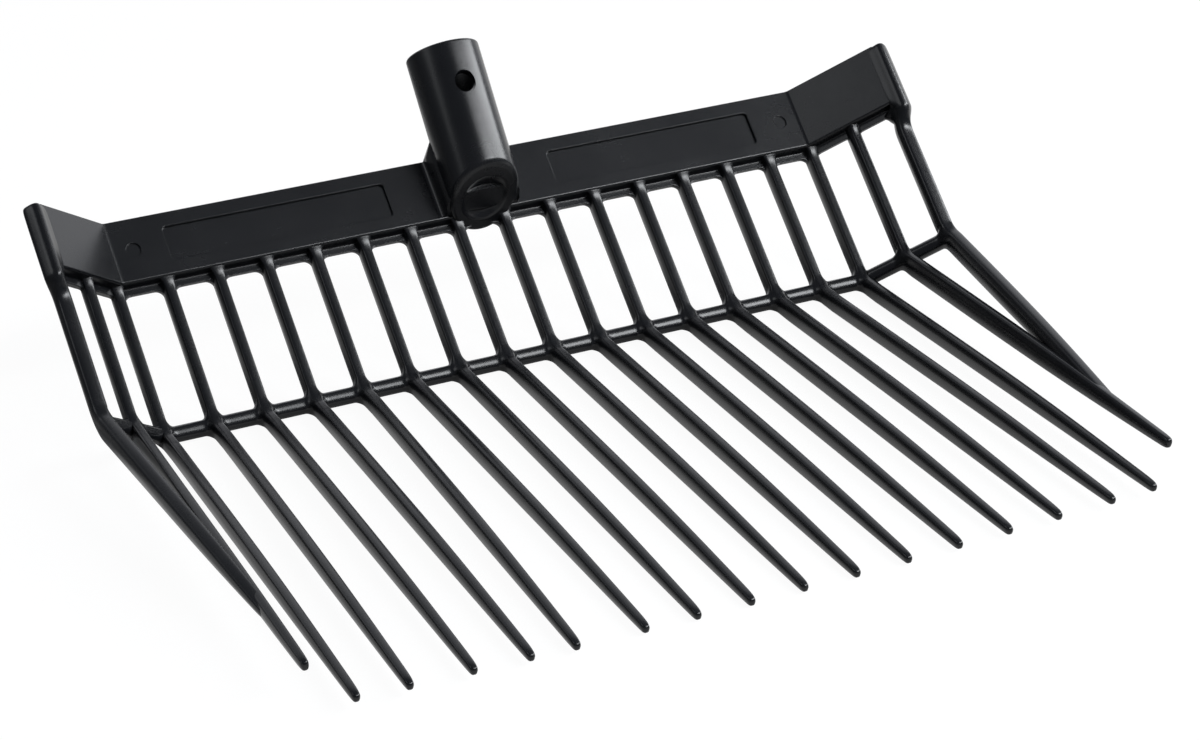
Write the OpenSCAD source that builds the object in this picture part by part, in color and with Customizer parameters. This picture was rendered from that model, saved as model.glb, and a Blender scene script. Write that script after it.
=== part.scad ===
// Head of a manure fork: twenty tines, a cross rail, bars, a headboard with folded ends and a handle socket.
// It lies on its tines. X runs across the head, the tines point along -Y, and Z is up from the floor.

/* [Tines] */
// Spacing of the tines, centre to centre
tine_pitch = 21.7; // [20:0.1:25]
// Length of a tine from the rail's centre line to its point
tine_len = 213.8; // [180:0.1:260]
// Depth of a tine at the rail
tine_h = 8.2; // [7:0.1:9]
// Depth of the two tines on each side at the rail
side_tine_h = 9.4; // [8:0.1:11]
// How far the points at the corners lie outside their bars
tip_out_x = 6.3; // [0:0.1:8]
// How far the points at the corners stand above those in the middle
tip_rise = 3.6; // [0:0.1:8]
// How far in front of the rail the side points are
side_tip_reach = 201.3; // [170:0.1:245]
// How far to the side of the middle the side points are
side_tip_x = 182.9; // [180:0.1:190]
// Height of the side point's axis above the floor
side_tip_z = 15.4; // [12:0.1:24]

/* [Rail and bars] */
// Diameter of the rail
rail_d = 6.6; // [5:0.1:7.5]
// Length of a bar from the rail's centre line to the headboard's lower edge
bar_len = 62.6; // [50:0.1:80]
// Widest width of a bar and its tine, at their parting line
bar_w = 5; // [4:0.1:6]
// Depth of a bar
bar_h = 8; // [7:0.1:9]
// Widest width of the outermost bars and their tines
outer_bar_w = 5.6; // [5:0.1:6.4]
// Angle that the bars and the headboard rise above the tines
back_angle = 40.7; // [30:0.1:50]

/* [Headboard] */
// Height of the headboard above the bars
board_h = 31.7; // [28:0.1:42]
// Thickness of the headboard
board_t = 7; // [6:0.1:8]
// How far the headboard's face stands in front of the bars
board_proud = 1.7; // [0.5:0.1:2.5]
// Height of the headboard's lower front edge above the bars
rim_h = 3.5; // [2.5:0.1:6]
// Height of the strip that joins the arches
strip_h = 1.6; // [1:0.1:2]
// How far the strip's face stands in front of the bars' middle
strip_out = 1; // [0:0.1:2]
// Radius of the arch corners beside each bar
arch_r = 4; // [2.5:0.1:5]
// Distance of the panels from the middle
panel_x = 38.4; // [32:0.1:50]
// Length of a panel
panel_len = 98.7; // [60:0.1:105]
// Height of a panel
panel_h = 15; // [8:0.5:20]
// Depth that panels and marks are sunk
panel_sink = 0.5; // [0.3:0.1:1]
// Diameter of the round marks beside the corners
mark_d = 6; // [4:0.1:8]
// Distance of the round marks from the corner bars
mark_inset = 11.2; // [8:0.1:14]

/* [End panels] */
// Angle that the end panels fold up from the headboard
wing_angle = 44.6; // [30:0.1:60]
// Distance of an end panel's outer edge beyond the outermost bar's middle
edge_out_x = 7.6; // [6.8:0.1:10]
// Width of the rim along the outer edge
rim_w = 5.6; // [4.5:0.1:6]
// Thickness of the rim
rim_t = 8; // [7:0.1:9]
// Radius of the rim's edges
rim_r = 2; // [1:0.1:2.2]
// Length of the neck from the rim to the outermost bar
neck_len = 13; // [8:0.5:18]

/* [Handle socket] */
// Outside diameter of the socket
socket_d = 32; // [30:0.1:34]
// Diameter of the bore that takes the handle
socket_bore = 26; // [22:0.1:27]
// Length of the socket along its axis, from its foot to its mouth
socket_len = 69.3; // [62:0.1:90]
// Depth of the bore
bore_depth = 50; // [30:0.5:52]
// Angle between the socket and the headboard
socket_lean = 9.3; // [5:0.1:12]
// Distance of the socket's foot up the headboard, from the rail
socket_foot = 66; // [64:0.5:70]
// Distance of the socket's foot in front of the bars' middle
socket_out = 13.9; // [13:0.1:16]
// Angle of the closed nose to the socket's cross section
nose_angle = 33; // [20:1:36]
// Distance of the nose from the foot, on the axis
nose_up = 2.7; // [0:0.1:5]
// Width of the dish in the nose
dish_d = 20; // [12:0.5:23]
// Depth of the dish in the nose
dish_sink = 1.2; // [0.5:0.1:2]
// Width of the base under the socket
base_w = 30.4; // [29:0.1:31]
// Height of the base above the headboard's top edge
base_rise = 4.5; // [2:0.1:8]
// Bevel of the mouth's outer and inner edges
mouth_bevel = 0.8; // [0.4:0.1:1.2]
// Diameter of the screw hole
screw_d = 8.6; // [4:0.1:10]
// Distance of the screw hole below the mouth
screw_drop = 19.1; // [12:0.1:30]

/* [Hidden] */
FLAT_COUNT = 16;
SIDE_COUNT = 2;
COUNT = FLAT_COUNT + 2 * SIDE_COUNT;
PLASTIC = "#1c1e21";
// Every cut runs past the solid by this much
overrun = 1;
// Thickness of the two end slices that a neck is drawn between
neck_slice = 1;
$fn = 64;
// Sides of the circles that round the rim's edges
EDGE_SIDES = 8;

// Half of the section of a bar or tine, from front to back: shares of its width and depth
section_shares = [[0.2, 0.5], [0.33, 0.43], [0.5, 0.1], [0.5, -0.1], [0.33, -0.43], [0.2, -0.5]];
// Along a tine: share of its run, then shares of its width and depth there
taper_shares = [
    [0, 1, 1], [0.33, 0.99, 0.98], [0.58, 0.97, 0.92], [0.77, 0.9, 0.72], [0.9, 0.78, 0.54],
    [0.96, 0.68, 0.44], [0.985, 0.52, 0.34], [1, 0.24, 0.16]
];
// How far each tine's point strays sideways, as shares of the pitch
stray_shares = [0, 0, 0, -0.1, 0, 0, -0.2, 0.05, 0, 0, 0, 0, 0, 0, 0, 0, 0.1, -0.05, 0, 0];
// Where an outermost tine runs into its neighbour, as a share of the neighbour's run
merge_share = 0.8;
// Rows of the taper between which it leans on the neighbour's side
LEAN_ROWS = [2, 3];

// Numbers of the right corner's bar and of the two bars beyond it
CORNER = COUNT - SIDE_COUNT - 1;
INNER_SIDE = COUNT - 2;
OUTER_SIDE = COUNT - 1;

corner_x = (FLAT_COUNT - 1) / 2 * tine_pitch;
board_front = bar_h / 2 + board_proud;
board_back = board_front - board_t;
board_top = bar_len + board_h;
board_edge = bar_len + rim_h;
panel_mid = (board_edge + board_top) / 2;
// Side view of the headboard and end panels, points [up the board, out]: the overhang of the face slopes back
// to the strip above the arches
plate_profile = [
    [bar_len, board_back], [board_top, board_back], [board_top, board_front],
    [board_edge, board_front], [bar_len + strip_h, strip_out], [bar_len, strip_out]
];
wing_w = SIDE_COUNT * tine_pitch + edge_out_x;
web_start = SIDE_COUNT * tine_pitch - outer_bar_w / 2;
rim_mid = wing_w - rim_w / 2;
socket_r = socket_d / 2;
mouth_angle = back_angle + socket_lean;
// Place of the rail, which centres the part on its origin and lays the tines on the floor
mouth_along = socket_foot + socket_len * cos(socket_lean);
mouth_out = socket_out + socket_len * sin(socket_lean);
mouth_y = mouth_along * cos(back_angle) - mouth_out * sin(back_angle);
rail_y = (tine_len - mouth_y - (socket_r - mouth_bevel) * sin(mouth_angle)) / 2;
rail_z = tine_h / 2;

function numbered(word, i) = str(word, i < 10 ? "_0" : "_", i);
// Number of steps that tine i stands outside the corner, with its sign, and 0 in the flat part
function fold_step(i) = i < SIDE_COUNT ? i - SIDE_COUNT : max(0, i - CORNER);
function is_side(i) = fold_step(i) != 0;
function is_outermost(i) = abs(fold_step(i)) == SIDE_COUNT;
// Place of bar i in the headboard's frame: across, and out from the bars' middle
function bar_x(i) =
    let (s = fold_step(i))
    s == 0 ? (i - (COUNT - 1) / 2) * tine_pitch : sign(s) * corner_x + s * tine_pitch * cos(wing_angle);
function bar_out(i) = abs(fold_step(i)) * tine_pitch * sin(wing_angle);
function bar_width(i) = is_outermost(i) ? outer_bar_w : bar_w;
function tine_depth(i) = is_side(i) ? side_tine_h : tine_h;
// Middle of the knee of tine i, measured from the floor under the rail
function knee(i) = [bar_x(i), -bar_out(i) * sin(back_angle), rail_z + bar_out(i) * cos(back_angle)];
// End of tine i: flat tines fan out along the floor, and each outermost tine runs into its neighbour
function tine_end(i) =
    let (s = fold_step(i), u = bar_x(i) / corner_x, neighbour = i - sign(s))
    s == 0 ? [bar_x(i) + u * tip_out_x + stray_shares[i] * tine_pitch, -tine_len, u * u * tip_rise] :
    is_outermost(i) ? knee(neighbour) * (1 - merge_share) + tine_end(neighbour) * merge_share :
    [sign(s) * side_tip_x, -side_tip_reach, side_tip_z];
// Number of the bar or tine on the right that matches number i
function right_match(i) = max(i, COUNT - 1 - i);
function section(w, h) = concat(
    [for (p = section_shares) [p[0] * w, p[1] * h]],
    [for (k = [len(section_shares) - 1:-1:0]) [-section_shares[k][0] * w, section_shares[k][1] * h]]
);
function tine_mid(i, row) = knee(i) * (1 - row[0]) + tine_end(i) * row[0];
// Ring of points of tine i at one row of the taper. The first lies in the plane that halves the bend to the
// bar, the others lie across Y, and a flat tine's underside is straight
function tine_ring(i, row) =
    let (
        mid = tine_mid(i, row),
        h = tine_depth(i) * row[2],
        z = is_side(i) ? mid[2] : tine_end(i)[2] * row[0] + h / 2,
        lean = row[0] == 0 ? tan(back_angle / 2) : 0
    )
    [for (p = section(bar_width(i) * row[1], h)) [mid[0] + p[0], mid[1] - p[1] * lean, z + p[1]]];

// Puts its children in the headboard's frame: X across, Y up the board, Z out of its front
module at_board() {
    translate([0, rail_y, rail_z]) rotate([back_angle, 0, 0]) children();
}

// Puts its children in the frame of the right end panel, with X along the panel
module at_wing() {
    at_board() translate([corner_x, 0, 0]) rotate([0, -wing_angle, 0]) children();
}

// Puts its children in the frame of the socket, with Z along its axis and its front at -Y
module at_socket() {
    translate([0, socket_foot, socket_out]) rotate([socket_lean - 90, 0, 0]) children();
}

// Prism of a side view, points [up the board, out], between two places across
module across(x1, x2, points) {
    translate([x1, 0, 0]) rotate([90, 0, 90]) linear_extrude(x2 - x1) polygon(points);
}

// Prism of a top view, points [across, out], between two places up the board
module upright(y1, y2, points) {
    translate([0, y2, 0]) rotate([90, 0, 0]) linear_extrude(y2 - y1) polygon(points);
}

// Space on one side of the plane that halves the right fold, outwards or inwards
module beside_fold(outwards) {
    far = board_top + wing_w;
    translate([corner_x, 0, 0]) rotate([0, -wing_angle / 2, 0])
        translate([outwards ? 0 : -far, -far, -far]) cube([far, 2 * far, 2 * far]);
}

// Turns a piece of the right half over to the left where number i is there
module to_side_of(i) {
    mirror([i < right_match(i) ? 1 : 0, 0, 0]) children();
}

// Straight run of bar i between two places up the board
module bar_run(i, y1, y2) {
    upright(y1, y2, [for (p = section(bar_width(i), bar_h)) [bar_x(i) + p[0], bar_out(i) + p[1]]]);
}

// Rounded corner of an arch at the right of a bar's middle, as thick as the strip
module arch_corner(x) {
    reach = bar_w / 2 + arch_r;
    translate([x, bar_len - arch_r, board_back])
        linear_extrude(strip_out - board_back)
            difference() {
                square([reach, arch_r]);
                translate([reach, 0]) circle(arch_r);
            }
}

// Headboard to the right of the socket, with its sunk panel and round mark
module right_board() {
    color(PLASTIC) at_board() difference() {
        across(base_w / 2, corner_x + board_t, plate_profile);
        beside_fold(true);
        translate([panel_x, panel_mid - panel_h / 2, board_front - panel_sink])
            cube([panel_len, panel_h, panel_sink + overrun]);
        translate([corner_x - mark_inset, panel_mid, board_front - panel_sink])
            cylinder(d = mark_d, h = panel_sink + overrun);
    }
}

module left_board() {
    mirror([1, 0, 0]) right_board();
}

// End panel, from the fold to its rim
module right_wing() {
    color(PLASTIC) difference() {
        at_wing() across(-board_t, web_start, plate_profile);
        at_board() beside_fold(false);
    }
}

module left_wing() {
    mirror([1, 0, 0]) right_wing();
}

// Section of the thick outer rim with rounded edges, in the frame of the end panel
module rim_section() {
    translate([rim_mid, board_front - board_t / 2]) {
        square([rim_w - 2 * rim_r, rim_t], center = true);
        square([rim_w, rim_t - 2 * rim_r], center = true);
        for (sx = [-1, 1], sz = [-1, 1]) {
            translate([sx * (rim_w / 2 - rim_r), sz * (rim_t / 2 - rim_r)]) circle(rim_r, $fn = EDGE_SIDES);
        }
    }
}

// Rim along the end panel's outer edge, with the web beside it and the neck down to the outermost bar
module right_wing_rim() {
    color(PLASTIC) {
        at_wing() {
            translate([0, board_top, 0]) rotate([90, 0, 0]) linear_extrude(board_h) rim_section();
            across(web_start, rim_mid, plate_profile);
        }
        hull() {
            at_board() bar_run(OUTER_SIDE, bar_len - neck_len, bar_len - neck_len + neck_slice);
            at_wing() translate([0, bar_len + neck_slice, 0])
                rotate([90, 0, 0]) linear_extrude(neck_slice) rim_section();
        }
    }
}

module left_wing_rim() {
    mirror([1, 0, 0]) right_wing_rim();
}

module cross_rail() {
    half = corner_x + bar_w / 2;
    color(PLASTIC)
        translate([-half, rail_y, rail_z]) rotate([0, 90, 0]) cylinder(d = rail_d, h = 2 * half);
}

// End of the rail under the right end panel, which starts flat on the main rail's end
module right_rail_end() {
    color(PLASTIC) difference() {
        at_wing() rotate([0, 90, 0]) cylinder(d = rail_d, h = SIDE_COUNT * tine_pitch);
        translate([0, rail_y, rail_z])
            cube([2 * corner_x + bar_w, 2 * tine_len, 2 * tine_len], center = true);
    }
}

module left_rail_end() {
    mirror([1, 0, 0]) right_rail_end();
}

// Rail that bar i of the right half closes around
module rail_right_of(i) {
    if (i > CORNER) {
        right_rail_end();
    } else {
        cross_rail();
    }
}

// Bar of the right half: from the plane that halves its bend it closes around the rail and runs up to the
// headboard, with the arch corners beside its top
module right_bar(i) {
    far = 2 * bar_h;
    x = bar_x(i);
    color(PLASTIC) difference() {
        at_board() {
            bar_run(i, -bar_h, i == OUTER_SIDE ? bar_len - neck_len : board_edge);
            if (i <= CORNER) mirror([1, 0, 0]) arch_corner(-x);
            if (i < CORNER) arch_corner(x);
        }
        translate(knee(i) + [0, rail_y, 0]) rotate([back_angle / 2, 0, 0])
            translate([-far, -2 * far, -far]) cube(2 * far);
        rail_right_of(i);
        if (i <= CORNER) at_board() across(x - tine_pitch, x + tine_pitch, plate_profile);
        if (i == CORNER || i == INNER_SIDE) right_wing();
    }
}

module bar(i) {
    to_side_of(i) right_bar(right_match(i));
}

// Skin through the rings of tine i, with its two ends closed
module tine_skin(i) {
    rings = [for (row = taper_shares) tine_ring(i, row)];
    n = len(rings[0]);
    last = len(rings) - 1;
    points = [for (ring = rings) each ring];
    sides = [
        for (r = [0:last - 1], k = [0:n - 1])
            let (a = r * n + k, b = r * n + (k + 1) % n)
            each [[a, a + n, b + n], [a, b + n, b]]
    ];
    first_cap = [for (k = [0:n - 1]) k];
    last_cap = [for (k = [n - 1:-1:0]) last * n + k];
    translate([0, rail_y, 0]) polyhedron(points, concat(sides, [first_cap, last_cap]), convexity = 4);
}

// Space outside the upright plane on which the right outermost tine leans
module beside_neighbour() {
    lean = [
        for (r = LEAN_ROWS)
            let (row = taper_shares[r], mid = tine_mid(INNER_SIDE, row))
            [mid[0] + bar_width(INNER_SIDE) * row[1] / 2, mid[1]]
    ];
    run = (lean[1] - lean[0]) * COUNT;
    out = [2 * tine_len, 0];
    translate([0, rail_y, -tine_len]) linear_extrude(2 * tine_len)
        polygon([lean[0] - run, lean[1] + run, lean[1] + run + out, lean[0] - run + out]);
}

module tine(i) {
    color(PLASTIC) difference() {
        if (right_match(i) == OUTER_SIDE) {
            to_side_of(i) intersection() {
                tine_skin(OUTER_SIDE);
                beside_neighbour();
            }
        } else {
            tine_skin(i);
        }
        to_side_of(i) rail_right_of(right_match(i));
    }
}

// Socket's tube with its base, before the holes and the nose are cut
module socket_body() {
    top = board_top + base_rise;
    at_socket() rotate_extrude() polygon([
        [0, -socket_r], [socket_r, -socket_r], [socket_r, socket_len - mouth_bevel],
        [socket_r - mouth_bevel, socket_len], [0, socket_len]
    ]);
    across(-base_w / 2, base_w / 2, [
        [bar_len, board_front], [board_top, board_back], [top, socket_out],
        [top, socket_out + (top - socket_foot) * tan(socket_lean)], [socket_foot, socket_out],
        [bar_len, socket_out]
    ]);
}

// Flat cut of the closed nose, with its dish
module nose_cut() {
    at_socket() translate([0, 0, nose_up]) rotate([-nose_angle, 0, 0]) {
        translate([-socket_d, -2 * socket_d, -2 * socket_d])
            cube([2 * socket_d, 4 * socket_d, 2 * socket_d]);
        translate([0, 0, -overrun]) cylinder(d = dish_d, h = overrun + dish_sink);
    }
}

// Bore for the handle with its bevelled mouth, and the screw hole in its front
module handle_holes() {
    at_socket() {
        translate([0, 0, socket_len - bore_depth])
            cylinder(d = socket_bore, h = bore_depth + overrun);
        translate([0, 0, socket_len - mouth_bevel])
            cylinder(d1 = socket_bore, d2 = socket_bore + 2 * (mouth_bevel + overrun),
                h = mouth_bevel + overrun);
        translate([0, 0, socket_len - screw_drop])
            rotate([90, 0, 0]) cylinder(d = screw_d, h = socket_d);
    }
}

// Socket with the middle of the headboard, which it is moulded on
module handle_socket() {
    color(PLASTIC) at_board() difference() {
        union() {
            difference() {
                socket_body();
                nose_cut();
                upright(0, board_top, [
                    [-socket_d, board_front], [socket_d, board_front],
                    [socket_d, board_front - socket_d], [-socket_d, board_front - socket_d]
                ]);
            }
            across(-base_w / 2, base_w / 2, plate_profile);
        }
        handle_holes();
    }
}

left_board();
right_board();
left_wing();
right_wing();
left_wing_rim();
right_wing_rim();
handle_socket();
cross_rail();
left_rail_end();
right_rail_end();
for (i = [1:COUNT]) bar(i - 1);
for (i = [1:COUNT]) tine(i - 1);
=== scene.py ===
from math import cos, pi, radians, sin, tan

import bmesh
import bpy
from mathutils import Matrix, Vector


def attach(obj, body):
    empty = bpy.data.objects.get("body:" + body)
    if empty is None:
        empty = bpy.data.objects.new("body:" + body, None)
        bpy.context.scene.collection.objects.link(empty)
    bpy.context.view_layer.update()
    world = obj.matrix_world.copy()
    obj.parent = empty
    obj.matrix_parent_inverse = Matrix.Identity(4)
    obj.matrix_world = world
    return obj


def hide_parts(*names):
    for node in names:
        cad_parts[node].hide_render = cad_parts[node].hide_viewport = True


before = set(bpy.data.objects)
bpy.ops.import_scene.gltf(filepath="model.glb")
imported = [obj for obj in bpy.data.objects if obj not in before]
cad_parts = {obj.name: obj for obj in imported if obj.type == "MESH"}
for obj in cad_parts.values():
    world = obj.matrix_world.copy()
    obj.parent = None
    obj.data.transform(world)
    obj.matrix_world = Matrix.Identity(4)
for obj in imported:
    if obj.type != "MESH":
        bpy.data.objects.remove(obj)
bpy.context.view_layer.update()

# Black plastic. The whole head is one injection moulding in a black, lightly filled plastic.
# Its skin is smooth and half glossy, with a faint flow pattern from the mould and fine scratches that are a little
# paler and duller.

moulding_marks = bpy.data.node_groups.new("moulding_marks", "ShaderNodeTree")
for name, way in (("Scratch Scale", "INPUT"), ("Flow", "OUTPUT"), ("Scuff", "OUTPUT"), ("Height", "OUTPUT")):
    moulding_marks.interface.new_socket(name, in_out=way, socket_type="NodeSocketFloat")
n = moulding_marks.nodes
link = moulding_marks.links.new
inside = n.new("NodeGroupInput")
outside = n.new("NodeGroupOutput")
place = n.new("ShaderNodeTexCoord")
flow = n.new("ShaderNodeTexNoise")
flow.inputs["Scale"].default_value = 24
flow.inputs["Detail"].default_value = 4
flow.inputs["Roughness"].default_value = 0.6
link(place.outputs["Object"], flow.inputs["Vector"])
link(flow.outputs["Fac"], outside.inputs["Flow"])
stretch = n.new("ShaderNodeMapping")
stretch.inputs["Rotation"].default_value = (0.5, 0.3, 0.7)
stretch.inputs["Scale"].default_value = (1, 7, 2)
link(place.outputs["Object"], stretch.inputs["Vector"])
scratches = n.new("ShaderNodeTexNoise")
scratches.inputs["Detail"].default_value = 6
scratches.inputs["Roughness"].default_value = 0.7
link(stretch.outputs["Vector"], scratches.inputs["Vector"])
link(inside.outputs["Scratch Scale"], scratches.inputs["Scale"])
thin = n.new("ShaderNodeMapRange")
thin.inputs["From Min"].default_value = 0.6
thin.inputs["From Max"].default_value = 0.78
link(scratches.outputs["Fac"], thin.inputs["Value"])
link(thin.outputs["Result"], outside.inputs["Scuff"])
grain = n.new("ShaderNodeTexNoise")
grain.inputs["Scale"].default_value = 450
grain.inputs["Detail"].default_value = 3
link(place.outputs["Object"], grain.inputs["Vector"])
waves = n.new("ShaderNodeTexNoise")
waves.inputs["Scale"].default_value = 70
waves.inputs["Detail"].default_value = 2
link(place.outputs["Object"], waves.inputs["Vector"])
both = n.new("ShaderNodeMath")
both.operation = "MULTIPLY_ADD"
both.inputs[1].default_value = 4
link(waves.outputs["Fac"], both.inputs[0])
link(grain.outputs["Fac"], both.inputs[2])
link(both.outputs["Value"], outside.inputs["Height"])

black_plastic = bpy.data.materials.new("black_plastic")
black_plastic.use_nodes = True
n = black_plastic.node_tree.nodes
link = black_plastic.node_tree.links.new
skin = n["Principled BSDF"]
marks = n.new("ShaderNodeGroup")
marks.node_tree = moulding_marks
marks.inputs["Scratch Scale"].default_value = 60
tint = n.new("ShaderNodeValToRGB")
tint.color_ramp.elements[0].position = 0.3
tint.color_ramp.elements[0].color = (0.0055, 0.0060, 0.0075, 1)
tint.color_ramp.elements[1].position = 0.75
tint.color_ramp.elements[1].color = (0.0085, 0.0090, 0.0105, 1)
link(marks.outputs["Flow"], tint.inputs["Fac"])
worn = n.new("ShaderNodeMix")
worn.data_type = "RGBA"
worn.inputs["B"].default_value = (0.02, 0.0205, 0.0215, 1)
link(tint.outputs["Color"], worn.inputs["A"])
dust = n.new("ShaderNodeMath")
dust.operation = "MULTIPLY"
dust.inputs[1].default_value = 0.12
link(marks.outputs["Scuff"], dust.inputs[0])
link(dust.outputs["Value"], worn.inputs["Factor"])
link(worn.outputs["Result"], skin.inputs["Base Color"])
gloss = n.new("ShaderNodeMapRange")
gloss.inputs["From Min"].default_value = 0.25
gloss.inputs["From Max"].default_value = 0.75
gloss.inputs["To Min"].default_value = 0.22
gloss.inputs["To Max"].default_value = 0.30
link(marks.outputs["Flow"], gloss.inputs["Value"])
dull = n.new("ShaderNodeMath")
dull.operation = "MULTIPLY_ADD"
dull.inputs[1].default_value = 0.03
link(marks.outputs["Scuff"], dull.inputs[0])
link(gloss.outputs["Result"], dull.inputs[2])
link(dull.outputs["Value"], skin.inputs["Roughness"])
bump = n.new("ShaderNodeBump")
bump.inputs["Strength"].default_value = 0.06
bump.inputs["Distance"].default_value = 0.0001
link(marks.outputs["Height"], bump.inputs["Height"])
link(bump.outputs["Normal"], skin.inputs["Normal"])
skin.inputs["IOR"].default_value = 1.5

# Ribs. Each tine and its bar are one slim rib of the black moulding, bent where they cross the rail.
# A rib is widest at its parting line, tapers to a blunt point, and flares at its top into the arches under the
# headboard. Four kinds of rib are modelled here, and the bars, tines and rail are cut from them.

MM = 0.001
BACK = radians(40.7)
FOLD = radians(44.6)
PITCH = 21.7
CORNER_X = 7.5 * PITCH
RAIL_Y = 58.3191
RAIL_Z = 4.1
BEND_R = 14.0
BEND_RUN = BEND_R * tan(BACK / 2)
TINE_LEN = 213.8
FLAT_H = 8.2
SIDE_H = 9.8
SIDE_ROLL = radians(7)
BAR_H = 8.0
BAR_W = 5.0
OUTER_W = 6.8
SMOOTH = radians(50)
# Half of a rib's section from front to back, in shares of its width and depth, and then the other half
SECTION = [(0.22, 0.5), (0.4, 0.45), (0.49, 0.25), (0.53, 0.15), (0.53, 0.01), (0.47, -0.22), (0.36, -0.44),
           (0.2, -0.5)]
SECTION = SECTION + [(-a, b) for a, b in reversed(SECTION)]
# Corners of the section that the rail grows from on the right and the left side
RIGHT_WALL = (1, 2, 3, 4, 5, 6)
LEFT_WALL = (14, 13, 12, 11, 10, 9)
# Corners around the rail, its rings out from a rib's middle, its radius, and that of the flatter corners in front
RAIL_SIDES = 14
RAIL_RINGS = (3.8, 5.4, PITCH / 2)
RAIL_R = 3.5
RAIL_FRONT = {0: 3.12, 1: 3.32}
# Share of a tine's length, and the shares of its width and depth there
TAPER = [(0.33, 0.99, 0.98), (0.58, 0.97, 0.92), (0.77, 0.9, 0.74), (0.9, 0.82, 0.58), (0.96, 0.76, 0.52),
         (0.985, 0.7, 0.48), (0.998, 0.52, 0.4)]
# Rings of a bar's upper end: height up the board, width of the front's fillet on each side, front and back
BAR_TOP = [(68.2, 2.6, 5.0, -0.6), (66.7, 2.6, 5.3, -0.8), (65.6, 1.5, 4.9, -2.4), (64.3, 0.8, 4.5, -3.8),
           (62.8, 0.35, 4.2, -4.0), (61.2, 0.1, 4.05, -4.0), (59.6, 0.0, 4.0, -4.0), (53.0, 0.0, 4.0, -4.0)]
BAR_RINGS = (30.0, BEND_RUN + 6.0, BEND_RUN + 1.5, BEND_RUN)


def on_board(x, up, out):
    """Place in the frame of the headboard, in millimetres, as a place in the part's frame, in metres."""
    return Vector((x, RAIL_Y + up * cos(BACK) - out * sin(BACK),
                   RAIL_Z + up * sin(BACK) + out * cos(BACK))) * MM


def on_wing(across, up, out):
    """Place in the frame of the right end panel, in millimetres, as a place in the part's frame, in metres."""
    return on_board(CORNER_X + across * cos(FOLD) - out * sin(FOLD), up,
                    across * sin(FOLD) + out * cos(FOLD))


def begin(name, points):
    """Starts a piece as one face with these corners and opens it in edit mode with the face selected."""
    bpy.ops.object.select_all(action="DESELECT")
    bpy.ops.mesh.primitive_circle_add(vertices=len(points), fill_type="NGON")
    piece = bpy.context.object
    piece.name = name
    piece.data.name = name
    bpy.ops.object.mode_set(mode="EDIT")
    bm = bmesh.from_edit_mesh(piece.data)
    corner = bm.verts.layers.int.new("corner")
    ring = bm.verts.layers.int.new("ring")
    bm.verts.ensure_lookup_table()
    for k, point in enumerate(points):
        bm.verts[k].co = point
        bm.verts[k][corner] = k
        bm.verts[k][ring] = 0
    bmesh.update_edit_mesh(piece.data)
    bpy.ops.mesh.select_all(action="SELECT")
    return piece


def grow(place):
    """Extrudes the selected faces and moves each new corner to the place that fits its corner and ring."""
    bpy.ops.mesh.extrude_region_move()
    mesh = bpy.context.object.data
    bm = bmesh.from_edit_mesh(mesh)
    corner, ring = bm.verts.layers.int["corner"], bm.verts.layers.int["ring"]
    for v in bm.verts:
        if v.select:
            v.co, v[ring] = place(v[corner], v[ring])
    bmesh.update_edit_mesh(mesh)


def face_outwards():
    """Turns all faces of the piece in edit mode outwards."""
    bpy.ops.mesh.select_all(action="SELECT")
    bpy.ops.mesh.normals_make_consistent(inside=False)


def close_edit():
    """Turns all faces of the piece in edit mode outwards and leaves edit mode."""
    face_outwards()
    bpy.ops.object.mode_set(mode="OBJECT")


def pick_faces(test):
    """Selects the faces of the piece in edit mode that pass a test."""
    mesh = bpy.context.object.data
    bpy.ops.mesh.select_all(action="DESELECT")
    bpy.ops.mesh.select_mode(type="FACE")
    bm = bmesh.from_edit_mesh(mesh)
    for f in bm.faces:
        f.select_set(test(f, bm))
    bm.select_flush_mode()
    bmesh.update_edit_mesh(mesh)


def choose(*pieces):
    """Selects these pieces alone and makes the first one active."""
    bpy.ops.object.select_all(action="DESELECT")
    for piece in pieces:
        piece.select_set(True)
    bpy.context.view_layer.objects.active = pieces[0]


def smooth_piece(piece, levels):
    """Rounds a piece with a subdivision surface that is applied."""
    choose(piece)
    rounding = piece.modifiers.new("rounding", "SUBSURF")
    rounding.levels = levels
    rounding.render_levels = levels
    bpy.ops.object.modifier_apply(modifier="rounding")
    bpy.ops.object.shade_smooth_by_angle(angle=SMOOTH)


def bar_rings(x, out, width, flare):
    """Rings of a bar's upper end, with a share of the front's fillet. The fillet widens the front corners of the
    section, and the two in the middle of the front by less."""
    rings = []
    for up, wide, front, back in BAR_TOP:
        ring = []
        for a, b in SECTION:
            px = a * width
            if b > 0.4:
                px += (wide if a > 0 else -wide) * flare * (1 if abs(a) > 0.3 else 0.6)
            ring.append(on_board(x + px, up, out + 2 * b * (front if b > 0 else -back)))
        rings.append(ring)
    return rings


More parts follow.
